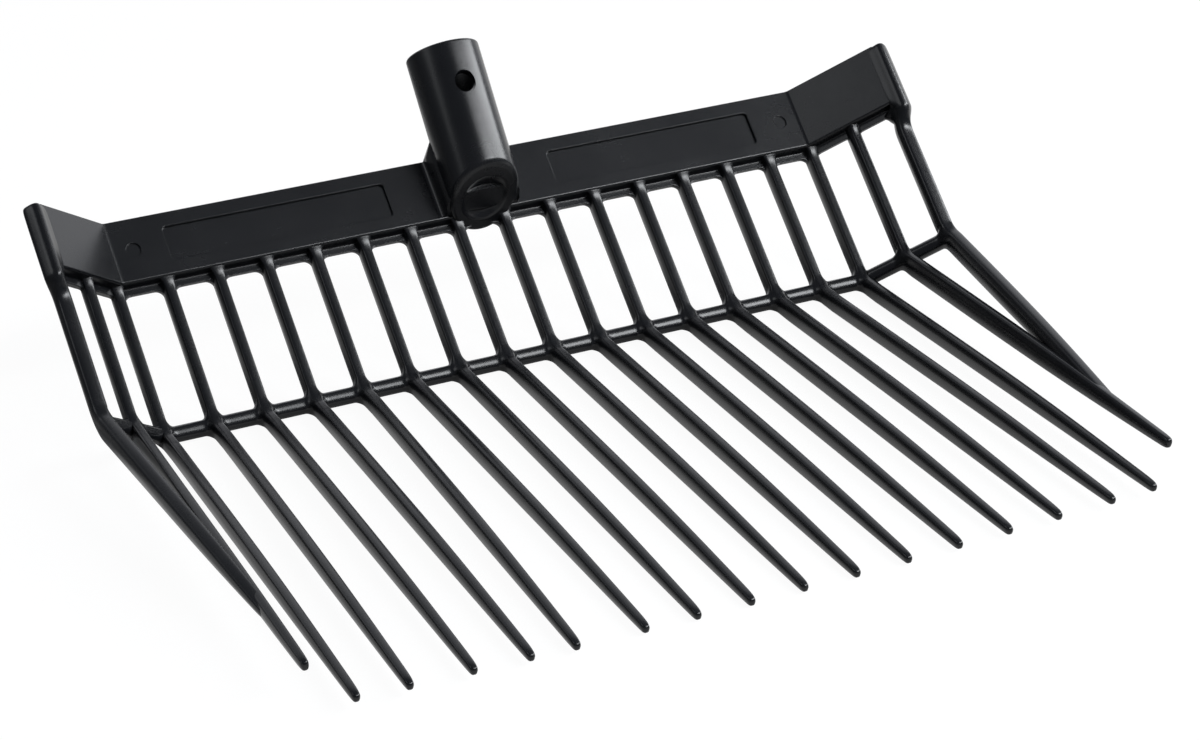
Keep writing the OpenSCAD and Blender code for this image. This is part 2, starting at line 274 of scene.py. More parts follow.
def rib(name, x, out, width, top, tine_h, tine, arms):
    """Models one rib: bar from its upper rings, bend, tine to its point, and the half rails on its sides.
    arms gives the fold angle of the rail on the left and right side, or None for no rail there."""
    rings = list(top)
    knee = Vector((x, RAIL_Y - out * sin(BACK), RAIL_Z + out * cos(BACK)))
    for up in BAR_RINGS:
        rings.append([on_board(x + a * width, up, out + b * BAR_H) for a, b in SECTION])
    first = len(rings) - 1
    for angle, h in ((BACK / 2, (BAR_H + tine_h) / 2), (0, tine_h)):
        rings.append([Vector((x + a * width, knee.y - BEND_RUN + (BEND_R - b * h) * sin(angle),
                              knee.z + BEND_R - (BEND_R - b * h) * cos(angle))) * MM for a, b in SECTION])
    for w, h, mid, roll in tine:
        rings.append([Vector((mid[0] + a * width * w * cos(roll) + b * h * sin(roll), mid[1],
                              mid[2] + b * h * cos(roll) - a * width * w * sin(roll))) * MM for a, b in SECTION])
    piece = begin(name, rings[0])
    for r in range(1, len(rings)):
        grow(lambda c, old, r=r: (rings[r][c], r))
    step = 2 * pi / RAIL_SIDES
    top_angle = pi / 2 - BACK / 2
    for side, fold in ((1, arms[1]), (-1, arms[0])):
        if fold is None:
            continue
        wall = RIGHT_WALL if side > 0 else LEFT_WALL

        def on_wall(f, bm):
            c, r = bm.verts.layers.int["corner"], bm.verts.layers.int["ring"]
            return all(v[c] in wall and first <= v[r] <= first + 2 for v in f.verts)

        pick_faces(on_wall)
        for reach in RAIL_RINGS:
            def round_rail(c, r):
                k = wall.index(c)
                radius = RAIL_R
                if r == first:
                    angle = top_angle - step * (k + 1)
                elif r == first + 2:
                    angle = top_angle + step * (k + 1)
                    radius = RAIL_FRONT.get(k, RAIL_R)
                else:
                    angle = top_angle if k == 0 else top_angle - pi
                    radius = RAIL_R if k in (0, len(wall) - 1) else 0
                up, away = radius * cos(angle), radius * sin(angle)
                return on_board(x + side * reach * cos(fold) - away * sin(fold), up,
                                out + side * reach * sin(fold) + away * cos(fold)), r
            grow(round_rail)
        bpy.ops.mesh.delete(type="FACE")
    close_edit()
    smooth_piece(piece, 2)
    return piece


def flat_tine():
    """Rows of a flat tine, which lies on the floor: share of its width, depth, middle and roll."""
    rows = [(1, FLAT_H, (0, RAIL_Y - BEND_RUN - run, RAIL_Z), 0) for run in (1.5, 6.0)]
    for share, w, h in TAPER:
        rows.append((w, FLAT_H * h, (0, RAIL_Y - share * TINE_LEN, FLAT_H * h / 2), 0))
    return rows


def side_tine(start, end, first):
    """Rows of a side tine between its knee and its end, both in millimetres. It leans over after its first part."""
    start = (start[0], start[1] - BEND_RUN, start[2])
    rows = []
    for share, w, h in [(0.012, 1, 1), (first, 1, 1)] + TAPER:
        middle = tuple(s + (e - s) * share for s, e in zip(start, end))
        rows.append((w, SIDE_H * h, middle, SIDE_ROLL * min(1, share / 0.3)))
    return rows


def side_place(step):
    """Across, out and knee of the bar that is this many steps beyond the corner."""
    out = step * PITCH * sin(FOLD)
    x = CORNER_X + step * PITCH * cos(FOLD)
    return x, out, (x, RAIL_Y - out * sin(BACK), RAIL_Z + out * cos(BACK))


flat_rib = rib("flat_rib", 0, 0, BAR_W, bar_rings(0, 0, BAR_W, 1), FLAT_H, flat_tine(), (0, 0))
corner_rib = rib("corner_rib", 0, 0, BAR_W, bar_rings(0, 0, BAR_W, 0.6), FLAT_H, flat_tine(), (0, FOLD))
inner_x, inner_out, inner_knee = side_place(1)
inner_end = (182.9, RAIL_Y - 201.3, 15.4)
inner_rib = rib("inner_rib", inner_x, inner_out, BAR_W, bar_rings(inner_x, inner_out, BAR_W, 0.25), SIDE_H,
                side_tine(inner_knee, inner_end, 0.06), (FOLD, FOLD))
# The outermost bar goes on as the bead along the end panel's edge: its section in the panel's frame, its middle,
# the corners that a fillet moves, and those that a web between the bar and the panel moves
outer_x, outer_out, outer_knee = side_place(2)
outer_end = tuple(k * 0.2 + e * 0.8 for k, e in zip(inner_knee, inner_end))
BEAD = [(49.9, 6.5), (50.9, 5.3), (51.3, 3.9), (51.3, 2.7), (51.3, 1.3), (51.2, 0.1), (50.6, -0.9), (49.6, -1.25),
        (47.0, -1.25), (45.8, -1.0), (45.2, -0.5), (45.0, 1.2), (45.0, 3.2), (45.0, 5.0), (46.2, 6.3), (48.2, 6.6)]
BEAD_MIDDLE = (48.4, 3.0)
BEAD_FILLET = {13: (41.6, 5.67), 14: (45.6, 5.9)}
WEB_FACE = 0.98
WEB_BACK = -1.28
WEB_CORNERS = {11: WEB_BACK, 12: WEB_FACE}
INNER_SIDE = range(9, 15)
# Rings of the bead: height, shares of the bead on the outer and inner side, share of the fillet, size and web
BEAD_ROWS = [(94.25, 1, 1, 1, 0.7, 0), (93.6, 1, 1, 1, 0.92, 0), (92.2, 1, 1, 1, 1, 0), (78.0, 1, 1, 1, 1, 0),
             (68.0, 1, 1, 1, 1, 0), (65.8, 1, 1, 0.7, 1, 0), (64.0, 1, 0.93, 0.1, 1, 3.0),
             (62.7, 1, 0.78, 0, 1, 3.0), (62.0, 0.97, 0.55, 0, 1, 1.8), (61.0, 0.9, 0.4, 0, 1, 0.9),
             (59.5, 0.74, 0.25, 0, 1, 0.3), (57.5, 0.42, 0.12, 0, 1, 0), (55.5, 0.16, 0.05, 0, 1, 0),
             (53.5, 0.04, 0.01, 0, 1, 0), (51.5, 0, 0, 0, 1, 0), (48.0, 0, 0, 0, 1, 0), (44.0, 0, 0, 0, 1, 0)]
bead_rings = []
for up, outer, inner, hollow, size, web in BEAD_ROWS:
    ring = []
    for k, (a, b) in enumerate(SECTION):
        if web and k in WEB_CORNERS:
            ring.append(on_wing(2 * PITCH - 0.5 * OUTER_W - web, up, WEB_CORNERS[k]))
            continue
        across, out = BEAD[k]
        if k in BEAD_FILLET:
            across += (BEAD_FILLET[k][0] - across) * hollow
            out += (BEAD_FILLET[k][1] - out) * hollow
        edge = on_wing(BEAD_MIDDLE[0] + (across - BEAD_MIDDLE[0]) * size, up,
                       BEAD_MIDDLE[1] + (out - BEAD_MIDDLE[1]) * size)
        bar = on_board(outer_x + a * OUTER_W, up, outer_out + b * BAR_H)
        bead = inner if k in INNER_SIDE else outer
        ring.append(edge * bead + bar * (1 - bead))
    bead_rings.append(ring)
outer_rib = rib("outer_rib", outer_x, outer_out, OUTER_W, bead_rings, SIDE_H,
                side_tine(outer_knee, outer_end, 0.08), (FOLD, None))

# Bars. The upright part of each rib, from the rail to the headboard, of the same black plastic.
# A bar is moulded in one with the rail at its foot and the headboard at its top, where a thin web on each side
# rounds the corner into an arch.

RIBS = 20
MIDDLE = 10.5
OUTER, INNER, CORNER = (1, 20), (2, 19), (3, 18)
BAR_CUT = 11.0
TINE_CUT = 14.0
NECK_UP = 49.6
BOARD_UP = 62.6
ARCH_R = 3.4
SIDE_ARCH_R = 1.8
ARCH_TOP = 64.0
ARCH_STEPS = 10


def own_copy(source, name):
    """Copies a piece with a mesh of its own."""
    piece = source.copy()
    piece.data = source.data.copy()
    piece.name = name
    piece.data.name = name
    bpy.context.scene.collection.objects.link(piece)
    return piece


def trim(place, facing):
    """Cuts the piece in edit mode with a plane, keeps the side that it faces and closes the cut."""
    bpy.ops.mesh.select_all(action="SELECT")
    bpy.ops.mesh.bisect(plane_co=place, plane_no=facing, use_fill=True, clear_inner=True)


def cut_copy(source, name, cuts):
    """Copies a piece and keeps the part of it in front of each cut plane, with the cut closed."""
    piece = own_copy(source, name)
    choose(piece)
    bpy.ops.object.mode_set(mode="EDIT")
    for place, facing in cuts:
        trim(place, facing)
    bpy.ops.object.mode_set(mode="OBJECT")
    bpy.ops.object.shade_smooth_by_angle(angle=SMOOTH)
    return piece


def placed_copy(source, name, move=None, mirrored=False):
    """Copies a piece, moves each of its points, and mirrors it to the left half where that is asked for."""
    piece = own_copy(source, name)
    for v in piece.data.vertices:
        p = move(v.co) if move else v.co
        v.co = Vector((-p.x, p.y, p.z)) if mirrored else p
    if mirrored:
        piece.data.flip_normals()
    return piece


def drop(*pieces):
    """Removes models that were only copied from."""
    for piece in pieces:
        mesh = piece.data
        bpy.data.objects.remove(piece)
        bpy.data.meshes.remove(mesh)


def parts_of(source, out):
    """Divides a rib into its bar, its piece of rail and its tine, at straight places."""
    up = Vector((0, cos(BACK), sin(BACK)))
    ahead = Vector((0, -1, 0))
    bar_place = on_board(0, BAR_CUT, out)
    tine_place = Vector((0, RAIL_Y - out * sin(BACK) - TINE_CUT, 0)) * MM
    bar = cut_copy(source, source.name + "_bar", [(bar_place, up)])
    tine = cut_copy(source, source.name + "_tine", [(tine_place, ahead)])
    knuckle = cut_copy(source, source.name + "_knuckle", [(bar_place, -up), (tine_place, -ahead)])
    return bar, knuckle, tine


flat_parts = parts_of(flat_rib, 0)
corner_parts = parts_of(corner_rib, 0)
inner_parts = parts_of(inner_rib, inner_out)
outer_parts = parts_of(outer_rib, outer_out)
up_the_board = Vector((0, cos(BACK), sin(BACK)))
outer_edge = cut_copy(outer_parts[0], "outer_edge", [(on_board(0, NECK_UP, 0), up_the_board)])
outer_bar = cut_copy(outer_parts[0], "outer_bar", [(on_board(0, NECK_UP, 0), -up_the_board)])
drop(outer_parts[0])
outer_parts = (outer_bar, outer_parts[1], outer_parts[2])
drop(flat_rib, corner_rib, inner_rib, outer_rib)


def arch_corner(x, out, width, side, fold, radius):
    """Models the small web that rounds the corner between a bar and the plate above it, on one side of the bar."""
    far = 0.5 * width + radius
    outline = [(0.2 * width, BOARD_UP - radius - 0.6), (0.2 * width, ARCH_TOP), (far + 0.4, ARCH_TOP),
               (far + 0.4, BOARD_UP)]
    for t in range(ARCH_STEPS + 1):
        angle = t * pi / (2 * ARCH_STEPS)
        outline.append((far - radius * sin(angle), BOARD_UP - radius + radius * cos(angle)))
    face = [on_board(x + side * a * cos(fold) - WEB_FACE * sin(fold), up,
                     out + side * a * sin(fold) + WEB_FACE * cos(fold)) for a, up in outline]
    depth = WEB_FACE - WEB_BACK
    back = on_board(depth * sin(fold), 0, -depth * cos(fold)) - on_board(0, 0, 0)
    piece = begin("arch", face)
    bpy.ops.mesh.extrude_region_move(TRANSFORM_OT_translate={"value": back})
    close_edit()
    edge = piece.modifiers.new("edges", "BEVEL")
    edge.width = 0.18 * MM
    edge.segments = 3
    edge.limit_method = "ANGLE"
    edge.angle_limit = radians(60)
    bpy.ops.object.modifier_apply(modifier="edges")
    bpy.ops.object.shade_smooth_by_angle(angle=radians(35))
    return piece


def with_arches(bar, x, out, folds, radii):
    """Joins a bar with the arch corners on its left and right side."""
    corners = [arch_corner(x, out, BAR_W, side, fold, radius)
               for side, fold, radius in zip((-1, 1), folds, radii)]
    choose(bar, *corners)
    bpy.ops.object.join()


with_arches(flat_parts[0], 0, 0, (0, 0), (ARCH_R, ARCH_R))
with_arches(corner_parts[0], 0, 0, (0, FOLD), (ARCH_R, SIDE_ARCH_R))
with_arches(inner_parts[0], inner_x, inner_out, (FOLD, FOLD), (SIDE_ARCH_R, SIDE_ARCH_R))


def finish_piece(piece, *nodes):
    """Gives a finished piece its material and body, and hides the solids that it stands for."""
    for mark in ("corner", "ring"):
        if mark in piece.data.attributes:
            piece.data.attributes.remove(piece.data.attributes[mark])
    piece.data.materials.clear()
    piece.data.materials.append(black_plastic)
    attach(piece, "root")
    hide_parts(*nodes)


for i in range(1, RIBS + 1):
    model, x = flat_parts[0], (i - MIDDLE) * PITCH
    if i in CORNER:
        model, x = corner_parts[0], CORNER_X
    elif i in INNER:
        model, x = inner_parts[0], 0
    elif i in OUTER:
        model, x = outer_parts[0], 0
    bar = placed_copy(model, "moulded_bar_%02d" % i, lambda p: p + Vector((x * MM, 0, 0)), mirrored=i in (1, 2, 3))
    finish_piece(bar, "bar_%02d" % i)

# Tines. The long points of the ribs, moulded in one with the rail. They lie on the floor and fan out a little
# towards the corners. A few of them stray sideways at the point, as thin tines of plastic do.

STRAY = {4: -0.1, 7: -0.2, 8: 0.05, 17: 0.1, 18: -0.05}
TIP_OUT = 6.3
TIP_RISE = 3.6

for i in range(1, RIBS + 1):
    name = "moulded_tine_%02d" % i
    if i in OUTER + INNER:
        model = inner_parts[2] if i in INNER else outer_parts[2]
        tine = placed_copy(model, name, mirrored=i < MIDDLE)
    else:
        x = (i - MIDDLE) * PITCH
        lean = x / CORNER_X
        aside = lean * TIP_OUT + STRAY.get(i, 0) * PITCH

        def fan(p):
            share = max(0, (RAIL_Y - TINE_CUT) * MM - p.y) / ((TINE_LEN - TINE_CUT) * MM)
            return p + Vector((x + aside * share, 0, lean * lean * TIP_RISE * share)) * MM

        tine = placed_copy(flat_parts[2], name, fan)
    finish_piece(tine, "tine_%02d" % i)

# Rail. The round bar of black plastic across the head, moulded through every rib with a fillet at each crossing.
# Its two ends follow the folded end panels.

MERGE = 0.00002


def join_pieces(name, pieces):
    """Joins pieces into one and merges the ends that meet."""
    choose(*pieces)
    bpy.ops.object.join()
    joined = bpy.context.object
    joined.name = name
    joined.data.name = name
    bpy.ops.object.mode_set(mode="EDIT")
    bpy.ops.mesh.select_all(action="SELECT")
    bpy.ops.mesh.remove_doubles(threshold=MERGE)
    bpy.ops.mesh.fill_holes(sides=0)
    bpy.ops.object.mode_set(mode="OBJECT")
    return joined


crossings = []
for i in range(CORNER[0] + 1, CORNER[1]):
    x = (i - MIDDLE) * PITCH * MM
    crossings.append(placed_copy(flat_parts[1], "crossing", lambda p: p + Vector((x, 0, 0))))
for left in (False, True):
    crossings.append(placed_copy(corner_parts[1], "crossing", lambda p: p + Vector((CORNER_X * MM, 0, 0)), left))
rail = join_pieces("moulded_rail", crossings)
bpy.ops.object.shade_smooth_by_angle(angle=SMOOTH)
finish_piece(rail, "cross_rail")
for side in ("right", "left"):
    ends = [placed_copy(parts[1], "crossing", mirrored=side == "left") for parts in (inner_parts, outer_parts)]
    rail_end = join_pieces("moulded_%s_rail_end" % side, ends)
    bpy.ops.object.shade_smooth_by_angle(angle=SMOOTH)
    finish_piece(rail_end, side + "_rail_end")
drop(*flat_parts, *corner_parts, *inner_parts, *outer_parts)

# Headboard and end panels. A flat moulded plate of black plastic on each side of the socket, folded at its end.
# Its rounded lower edge overhangs the arches. A long shallow panel is sunk in its face, and an ejector pin has
# left a round mark near each corner.

BOARD_TOP = 94.3
FACE_OUT = 5.7
BACK_OUT = -1.3
STRIP_OUT = 1.0
BASE_X = 15.2
WING_END = 46.0
OVERLAP = 8
FOLD_ROUND = 0.9
# Corners of the side view: up the board, out, and the size of the rounding
PROFILE = [(BOARD_UP, BACK_OUT, 0.35), (BOARD_TOP, BACK_OUT, 0.6), (BOARD_TOP, FACE_OUT, 0.7),
           (66.1, FACE_OUT, 1.0), (65.6, STRIP_OUT, 0.5), (BOARD_UP, STRIP_OUT, 0.2)]


def round_corners(corners):
    """Rounds the corners of the face in edit mode, each with its own size."""
    mesh = bpy.context.object.data
    for place, size in corners:
        bpy.ops.mesh.select_mode(type="VERT")
        bpy.ops.mesh.select_all(action="DESELECT")
        bm = bmesh.from_edit_mesh(mesh)
        min(bm.verts, key=lambda v: (v.co - place).length).select_set(True)
        bm.select_flush_mode()
        bmesh.update_edit_mesh(mesh)
        bpy.ops.mesh.bevel(offset=size * MM, segments=4, affect="VERTICES")


def prism(name, corners, along):
    """Models a plate from the rounded side view, drawn out along a direction, and leaves it in edit mode."""
    piece = begin(name, [place for place, size in corners])
    round_corners(corners)
    bpy.ops.mesh.select_all(action="SELECT")
    bpy.ops.mesh.extrude_region_move(TRANSFORM_OT_translate={"value": along})
    face_outwards()
    return piece


def sunk(piece, cutter):
    """Cuts a tool out of a piece and removes the tool."""
    choose(piece)
    cut = piece.modifiers.new("sunk", "BOOLEAN")
    cut.operation = "DIFFERENCE"
    cut.solver = "EXACT"
    cut.object = cutter
    bpy.ops.object.modifier_apply(modifier="sunk")
    drop(cutter)


def shade(piece):
    """Shades a piece smooth and keeps its flat faces flat."""
    choose(piece)
    bpy.ops.object.shade_smooth_by_angle(angle=radians(40))
    flat = piece.modifiers.new("flat", "WEIGHTED_NORMAL")
    flat.keep_sharp = True
    flat.weight = 100
    bpy.ops.object.modifier_apply(modifier="flat")


def ringed(name, rings):
    """Models a closed piece from rings of points, each grown from the one before."""
    piece = begin(name, rings[0])
    for ring in rings[1:]:
        grow(lambda c, old, ring=ring: (ring[c], 0))
    close_edit()
    return piece


fold_facing = Vector((cos(FOLD / 2), -sin(FOLD / 2) * sin(BACK), sin(FOLD / 2) * cos(BACK)))
fold_place = on_board(CORNER_X, 0, 0)
board = prism("board", [(on_board(BASE_X, up, out), size) for up, out, size in PROFILE],
              ((CORNER_X - BASE_X + OVERLAP) * MM, 0, 0))
trim(fold_place, -fold_facing)
bpy.ops.object.mode_set(mode="OBJECT")
wing = prism("wing", [(on_wing(-OVERLAP, up, out), size) for up, out, size in PROFILE],
             on_wing(WING_END, 0, 0) - on_wing(-OVERLAP, 0, 0))
trim(fold_place, fold_facing)
bpy.ops.object.mode_set(mode="OBJECT")
plate = join_pieces("plate", [board, wing])
bpy.ops.object.mode_set(mode="EDIT")
bpy.ops.mesh.select_mode(type="FACE")
bpy.ops.mesh.select_all(action="DESELECT")
bpy.ops.mesh.select_interior_faces()
bpy.ops.mesh.delete(type="ONLY_FACE")
bpy.ops.mesh.select_mode(type="EDGE")
bpy.ops.mesh.select_all(action="DESELECT")
bm = bmesh.from_edit_mesh(plate.data)
for e in bm.edges:
    e.select_set(all(abs((v.co - fold_place).dot(fold_facing)) < 1e-5 for v in e.verts))
bmesh.update_edit_mesh(plate.data)
bpy.ops.mesh.bevel(offset=FOLD_ROUND * MM, segments=5, affect="EDGES")
bpy.ops.object.mode_set(mode="OBJECT")
# Corner centres of the sunk panel, its corner's radius, and the pin mark's place and radius
PANEL_X = (40.2, 135.3)
PANEL_UP = (74.5, 85.9)
PANEL_R = 1.8
MARK_X = CORNER_X - 11.2
MARK_UP = 80.2
MARK_R = 3.0
# Rows of the cutters of the panel and the pin mark: height over the face and growth sideways, for a rounded lip
PANEL_LIP = [(-1.4, 0), (-0.5, 0), (-0.3, 0.05), (-0.12, 0.17), (-0.02, 0.36), (0.04, 0.6), (1.0, 0.7)]
MARK_LIP = [(-0.7, 0), (-0.35, 0), (-0.17, 0.05), (-0.04, 0.19), (0.03, 0.38), (1.0, 0.45)]


def turns(count):
    """Angles of the corners of a circle."""
    return [2 * pi * k / count for k in range(count)]


def panel_ring(height, grown):
    """Rounded outline of the panel's cutter."""
    r = PANEL_R + grown
    points = []
    for quarter, (right, top) in enumerate(((1, 1), (0, 1), (0, 0), (1, 0))):
        for a in [(quarter + k / 6) * pi / 2 for k in range(7)]:
            points.append(on_board(PANEL_X[right] + r * cos(a), PANEL_UP[top] + r * sin(a), FACE_OUT + height))
    return points


def mark_ring(height, grown):
    """Round outline of the pin mark's cutter."""
    r = MARK_R + grown
    return [on_board(MARK_X + r * cos(a), MARK_UP + r * sin(a), FACE_OUT + height) for a in turns(48)]


sunk(plate, ringed("panel", [panel_ring(*row) for row in PANEL_LIP]))
sunk(plate, ringed("pin_mark", [mark_ring(*row) for row in MARK_LIP]))
right_board = cut_copy(plate, "moulded_right_board", [(fold_place, -fold_facing)])
right_wing = cut_copy(plate, "moulded_right_wing", [(fold_place, fold_facing)])
drop(plate)
left_board = placed_copy(right_board, "moulded_left_board", mirrored=True)
left_wing = placed_copy(right_wing, "moulded_left_wing", mirrored=True)
for piece in (right_board, right_wing, left_board, left_wing):
    shade(piece)
finish_piece(right_board, "right_board")
finish_piece(left_board, "left_board")
finish_piece(right_wing, "right_wing")
finish_piece(left_wing, "left_wing")

# Rims. Each end panel has a thick rounded bead of the same plastic along its outer edge, which kinks inwards and
# becomes the outermost bar. A hollow fillet joins the bead to the panel's inner face.

right_rim = placed_copy(outer_edge, "moulded_right_wing_rim")
left_rim = placed_copy(outer_edge, "moulded_left_wing_rim", mirrored=True)
finish_piece(right_rim, "right_wing_rim")
finish_piece(left_rim, "left_wing_rim")
drop(outer_edge)

# Handle socket. A round plastic tube on the middle of the headboard, open at the top for the handle and closed by
# a slanted nose with a shallow dish at its foot. One screw hole goes through its front, and a base block joins it
# to the plate, all in one moulding.

LEAN = radians(9.3)
SOCKET_UP = 66.0
SOCKET_OUT = 13.9
SOCKET_R = 16.0
SOCKET_LEN = 69.2
SOCKET_RINGS = (62.0, 56.6, 43.8, 38.0, 25.0, -16.0)
BORE_R = 13.0
BORE_LEN = 49.4
MOUTH_ROUND = 1.1
MOUTH_BEVEL = 0.6
NOSE = radians(33)
NOSE_UP = 2.7
NOSE_ROUND = 2.4
ROUND = 160


def on_socket(x, y, z):
    """Place in the frame of the socket, with z along its axis and its front at -y, as a place in metres."""
    return on_board(x, SOCKET_UP + z * cos(LEAN) + y * sin(LEAN), SOCKET_OUT + z * sin(LEAN) - y * cos(LEAN))


socket = begin("moulded_handle_socket",
               [on_socket(SOCKET_R * cos(a), SOCKET_R * sin(a), SOCKET_LEN) for a in turns(ROUND)])
for z in SOCKET_RINGS:
    bm = bmesh.from_edit_mesh(socket.data)
    end = sum((v.co for v in bm.verts if v.select), Vector()) / ROUND
    bpy.ops.mesh.extrude_region_move(TRANSFORM_OT_translate={"value": on_socket(0, 0, z) - end})
face_outwards()
nose_facing = (on_socket(0, sin(NOSE), cos(NOSE)) - on_socket(0, 0, 0)).normalized()
trim(on_socket(0, 0, NOSE_UP), nose_facing)
pick_faces(lambda f, bm: f.normal.dot(nose_facing) < -0.98)
bpy.ops.mesh.bevel(offset=NOSE_ROUND * MM, segments=6, affect="EDGES")
axis = (on_socket(0, 0, 1) - on_socket(0, 0, 0)).normalized()
pick_faces(lambda f, bm: f.normal.dot(axis) > 0.98)
bpy.ops.mesh.bevel(offset=MOUTH_ROUND * MM, segments=4, affect="EDGES")
pick_faces(lambda f, bm: f.normal.dot(axis) > 0.999 and f.calc_area() > 1e-4)
bpy.ops.mesh.inset(thickness=(SOCKET_R - BORE_R - MOUTH_ROUND - MOUTH_BEVEL) * MM, depth=0)
bpy.ops.mesh.inset(thickness=MOUTH_BEVEL * MM, depth=-MOUTH_BEVEL * MM)
bpy.ops.mesh.extrude_region_move(TRANSFORM_OT_translate={"value": -axis * BORE_LEN * MM})
bpy.ops.object.mode_set(mode="OBJECT")
# Rings of the dish's cutter, depth behind the nose's face and radius, and its stretch up the nose
DISH = [(3.3, 1.2), (3.25, 3.6), (3.0, 5.6), (2.4, 7.4), (1.5, 8.9), (0.7, 9.8), (0.22, 10.5), (0.04, 11.1),
        (-0.06, 11.8), (-2.0, 12.0)]
DISH_STRETCH = 1.12
# Rings of the screw hole's cutter, place from the axis to the front and radius, and its distance from the mouth
HOLE = [(0.0, 4.3), (-14.9, 4.3), (-16.3, 5.3), (-18.0, 6.5)]
HOLE_DROP = 19.1


def dish_ring(depth, r):
    """Ring of the dish's cutter at one depth behind the nose's face."""
    across = Vector((1, 0, 0))
    over = across.cross(nose_facing)
    return [on_socket(0, 0, NOSE_UP) + nose_facing * depth * MM + across * r * cos(a) * MM
            + over * r * DISH_STRETCH * sin(a) * MM for a in turns(96)]


def hole_ring(y, r):
    """Ring of the screw hole's cutter at one depth."""
    return [on_socket(r * cos(a), y, SOCKET_LEN - HOLE_DROP + r * sin(a)) for a in turns(48)]


sunk(socket, ringed("dish", [dish_ring(*row) for row in DISH]))
sunk(socket, ringed("hole", [hole_ring(*row) for row in HOLE]))
shade(socket)
middle = prism("middle_plate", [(on_board(-BASE_X, up, out), size) for up, out, size in PROFILE],
               (2 * BASE_X * MM, 0, 0))
bpy.ops.object.mode_set(mode="OBJECT")
# Side walls of the base run into the plate with a hollow fillet, and its top slopes from the plate up to the tube
BASE_UP = (67.2, 93.6)
BASE_WALL = [(14.6, 17.2), (16.8, 13.6), (17.0, 8.4), (17.05, 7.3), (17.15, 6.5), (17.4, 6.0), (17.9, 5.75),
             (17.9, 4.5), (-19.4, 4.5), (-19.4, 5.6), (-18.5, 5.85), (-17.75, 6.45), (-17.35, 7.3), (-17.2, 8.4),
             (-16.8, 13.6), (-14.6, 17.2)]
base = begin("base", [on_board(a, BASE_UP[0], b) for a, b in BASE_WALL])
bpy.ops.mesh.extrude_region_move(
    TRANSFORM_OT_translate={"value": on_board(0, BASE_UP[1], 0) - on_board(0, BASE_UP[0], 0)})
close_edit()
# The nose lies free in front of the plate and the base, which are cut back around it: radius and start of each cut
CLEAR_FROM = -30
CLEAR_LEN = 60
for piece, r, start in ((middle, 15.9, 6.0), (base, 17.3, 4.2)):
    clear = begin("clear", [on_socket(r * cos(a), r * sin(a), CLEAR_FROM) for a in turns(96)])
    bpy.ops.mesh.extrude_region_move(TRANSFORM_OT_translate={"value": axis * CLEAR_LEN * MM})
    face_outwards()
    trim(on_socket(0, 0, start), -nose_facing)
    bpy.ops.object.mode_set(mode="OBJECT")
    sunk(piece, clear)
    shade(piece)
# Side views of the slope, up the board and out, at its middle and at its flared sides
SLOPE = [(86.0, 5.0), (86.0, -0.9), (94.1, -1.0), (96.0, 3.5), (98.2, 8.5), (100.2, 13.5), (101.4, 18.0),
         (86.0, 18.0)]
FLARE = [(86.0, 5.0), (86.0, -0.9), (93.9, -1.0), (94.2, 2.0), (94.4, 5.0), (94.4, 8.0), (94.2, 11.0),
         (86.0, 11.0)]
slope = ringed("slope", [[on_board(x, up, out) for up, out in side_view] for x, side_view in
                         ((-17.4, FLARE), (-14.2, SLOPE), (14.2, SLOPE), (17.4, FLARE))])
choose(slope)
edge = slope.modifiers.new("edges", "BEVEL")
edge.width = 0.8 * MM
edge.segments = 3
edge.limit_method = "ANGLE"
edge.angle_limit = radians(35)
bpy.ops.object.modifier_apply(modifier="edges")
shade(slope)
socket = join_pieces("moulded_handle_socket", [socket, middle, base, slope])
finish_piece(socket, "handle_socket")

# Floor and light. A plain white floor under a dark studio with a bright sweep behind, which both look white to the
# camera, four soft lamps, and the camera at the photograph's place.

bpy.ops.object.select_all(action="DESELECT")
bpy.ops.mesh.primitive_plane_add(size=12, location=(0, 0, -0.0005))
floor = bpy.context.object
floor.name = "floor"
white = bpy.data.materials.new("white_floor")
white.use_nodes = True
n = white.node_tree.nodes
link = white.node_tree.links.new
matt = n["Principled BSDF"]
matt.inputs["Roughness"].default_value = 0.9
matt.inputs["Specular IOR Level"].default_value = 0.1
glow = n.new("ShaderNodeEmission")
glow.inputs["Strength"].default_value = 1.05
path = n.new("ShaderNodeLightPath")
# Painted shade: the floor is pale to the camera but dark grey to every other ray, so it lights the head's
# undersides and shows in its reflections only dimly
tone = n.new("ShaderNodeMix")
tone.data_type = "RGBA"
tone.inputs["A"].default_value = (0.22, 0.22, 0.22, 1)
tone.inputs["B"].default_value = (0.88, 0.88, 0.88, 1)
link(path.outputs["Is Camera Ray"], tone.inputs["Factor"])
link(tone.outputs["Result"], matt.inputs["Base Color"])
spot = n.new("ShaderNodeTexCoord")


def ramp(value, start, end):
    """A share that goes smoothly from 0 to 1 as a value goes from the start to the end."""
    share = n.new("ShaderNodeMapRange")
    share.interpolation_type = "SMOOTHSTEP"
    share.inputs["From Min"].default_value = start
    share.inputs["From Max"].default_value = end
    link(value, share.inputs["Value"])
    return share.outputs["Result"]


def fade(direction, start, end):
    """A share that goes from 0 to 1 across the floor, between two distances along a direction."""
    along = n.new("ShaderNodeVectorMath")
    along.operation = "DOT_PRODUCT"
    along.inputs[1].default_value = direction
    link(spot.outputs["Object"], along.inputs[0])
    return ramp(along.outputs["Value"], start, end)


def times(a, b):
    """The product of two values, the second a socket or a number."""
    product = n.new("ShaderNodeMath")
    product.operation = "MULTIPLY"
    link(a, product.inputs[0])
    if isinstance(b, float):
        product.inputs[1].default_value = b
    else:
        link(b, product.inputs[1])
    return product.outputs["Value"]
